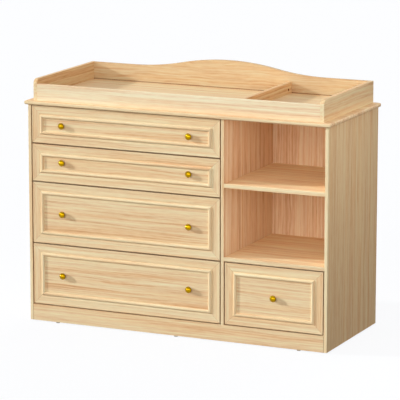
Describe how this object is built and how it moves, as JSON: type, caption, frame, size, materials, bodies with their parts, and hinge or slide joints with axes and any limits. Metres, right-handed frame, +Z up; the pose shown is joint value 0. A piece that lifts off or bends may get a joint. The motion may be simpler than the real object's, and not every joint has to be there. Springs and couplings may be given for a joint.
{
  "type": "changing dresser",
  "caption": "Wooden nursery dresser with a raised changing tray, crested back, open cubbies and moulded drawers that slide on side runners.",
  "frame": {"origin": "on the floor, under the middle of the bounding box", "axes": "+Z up, -Y towards the front with the drawer knobs, +X to the viewer's right"},
  "size_m": [1.2, 0.4922, 0.944],
  "materials": {
    "case_wood": "satin-varnished pale laminated board",
    "tray_wood": "satin-varnished pale laminated board",
    "front_wood": "satin-varnished pale moulding",
    "panel_wood": "satin-varnished pale board",
    "back_wood": "satin plywood",
    "box_wood": "plain sealed board",
    "dowel_wood": "plain beech dowel",
    "knob_brass": "polished brass",
    "zinc_steel": "zinc-plated steel",
    "glide_plastic": "dark brown plastic"
  },
  "bodies": {
    "carcass": {"side_panel_left": "case_wood", "side_panel_right": "case_wood", "centre_divider": "case_wood", "base_board": "case_wood", "plinth_front": "case_wood", "plinth_rear": "case_wood", "rear_top_rail": "case_wood", "top_board": "case_wood", "shelf_lower": "case_wood", "shelf_upper": "case_wood", "tray_side_left": "tray_wood", "tray_side_right": "tray_wood", "tray_front_rail": "tray_wood", "tray_back_crest": "tray_wood", "tray_floor": "tray_wood", "tray_divider": "tray_wood", "back_panel": "back_wood", "carcass_dowels": "dowel_wood", "cam_fittings": "zinc_steel", "floor_glides": "glide_plastic", "tray_screws": "zinc_steel", "runner_channels": "zinc_steel"},
    "drawer_1": {"drawer_1_front_frame": "front_wood", "drawer_1_front_panel": "panel_wood", "drawer_1_box_sides": "box_wood", "drawer_1_box_ends": "box_wood", "drawer_1_box_bottom": "box_wood", "drawer_1_knobs": "knob_brass", "drawer_1_rails_screws": "zinc_steel"},
    "drawer_2": {"drawer_2_front_frame": "front_wood", "drawer_2_front_panel": "panel_wood", "drawer_2_box_sides": "box_wood", "drawer_2_box_ends": "box_wood", "drawer_2_box_bottom": "box_wood", "drawer_2_knobs": "knob_brass", "drawer_2_rails_screws": "zinc_steel"},
    "drawer_3": {"drawer_3_front_frame": "front_wood", "drawer_3_front_panel": "panel_wood", "drawer_3_box_sides": "box_wood", "drawer_3_box_ends": "box_wood", "drawer_3_box_bottom": "box_wood", "drawer_3_knobs": "knob_brass", "drawer_3_rails_screws": "zinc_steel"},
    "drawer_4": {"drawer_4_front_frame": "front_wood", "drawer_4_front_panel": "panel_wood", "drawer_4_box_sides": "box_wood", "drawer_4_box_ends": "box_wood", "drawer_4_box_bottom": "box_wood", "drawer_4_knobs": "knob_brass", "drawer_4_rails_screws": "zinc_steel"},
    "drawer_5": {"drawer_5_front_frame": "front_wood", "drawer_5_front_panel": "panel_wood", "drawer_5_box_sides": "box_wood", "drawer_5_box_ends": "box_wood", "drawer_5_box_bottom": "box_wood", "drawer_5_knobs": "knob_brass", "drawer_5_rails_screws": "zinc_steel"}
  },
  "joints": [
    {"name": "drawer_1_slide", "type": "slide", "parent": "carcass", "child": "drawer_1", "axis": [0, -1, 0], "range_m": [0, 0.28]},
    {"name": "drawer_2_slide", "type": "slide", "parent": "carcass", "child": "drawer_2", "axis": [0, -1, 0], "range_m": [0, 0.28]},
    {"name": "drawer_3_slide", "type": "slide", "parent": "carcass", "child": "drawer_3", "axis": [0, -1, 0], "range_m": [0, 0.28]},
    {"name": "drawer_4_slide", "type": "slide", "parent": "carcass", "child": "drawer_4", "axis": [0, -1, 0], "range_m": [0, 0.28]},
    {"name": "drawer_5_slide", "type": "slide", "parent": "carcass", "child": "drawer_5", "axis": [0, -1, 0], "range_m": [0, 0.28]}
  ]
}
